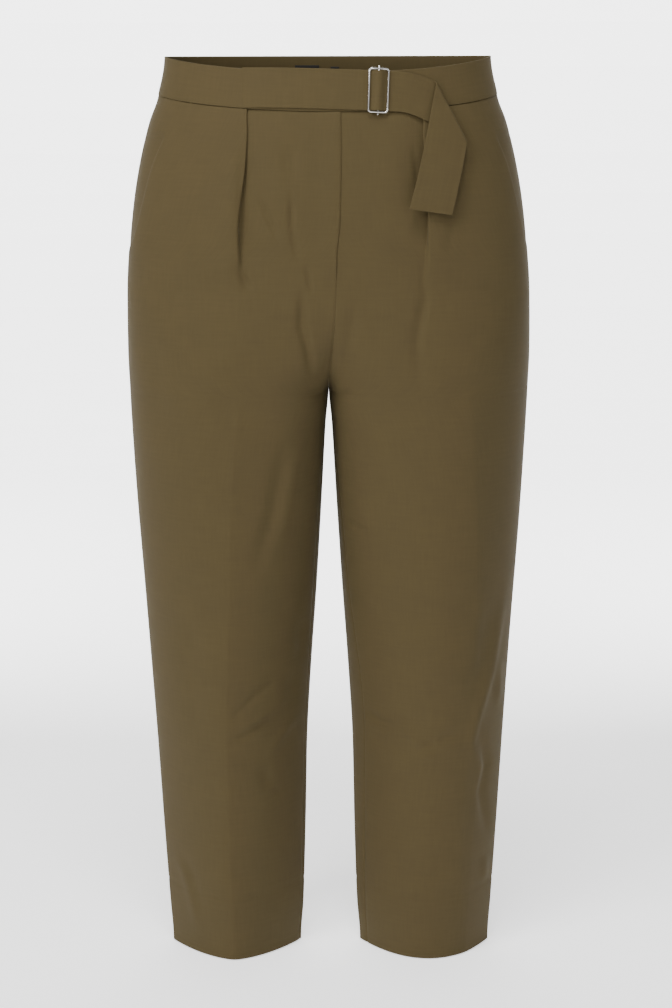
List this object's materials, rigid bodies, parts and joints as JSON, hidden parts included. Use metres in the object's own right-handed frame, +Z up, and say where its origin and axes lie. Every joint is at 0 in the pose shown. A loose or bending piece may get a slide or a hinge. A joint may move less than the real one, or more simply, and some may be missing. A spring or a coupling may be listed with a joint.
{
  "type": "belted pleated trousers",
  "caption": "Cropped tapered trousers, filled out as if worn, with pleats, side pockets, a fly and a folded self-cloth belt in a slider buckle.",
  "frame": {"origin": "middle of the waist opening, level with the waistband's top edge at the side seams", "axes": "+Z up out of the waist, -Y towards the front of the wearer, +X towards the wearer's left"},
  "size_m": [0.4266, 0.2119, 0.98],
  "materials": {
    "cloth": "olive-khaki cotton twill, matt with a slight sheen",
    "buckle": "polished silver-coloured wire",
    "label": "black woven label cloth, plain"
  },
  "bodies": {
    "root": {"front_right": "cloth", "front_left": "cloth", "back_right": "cloth", "back_left": "cloth", "pocket_facing_right": "cloth", "pocket_facing_left": "cloth", "waistband_front_right": "cloth", "waistband_front_left": "cloth", "waistband_back": "cloth", "fly_shield": "cloth", "belt": "cloth", "buckle": "buckle", "label": "label", "size_tab": "label"}
  },
  "joints": []
}
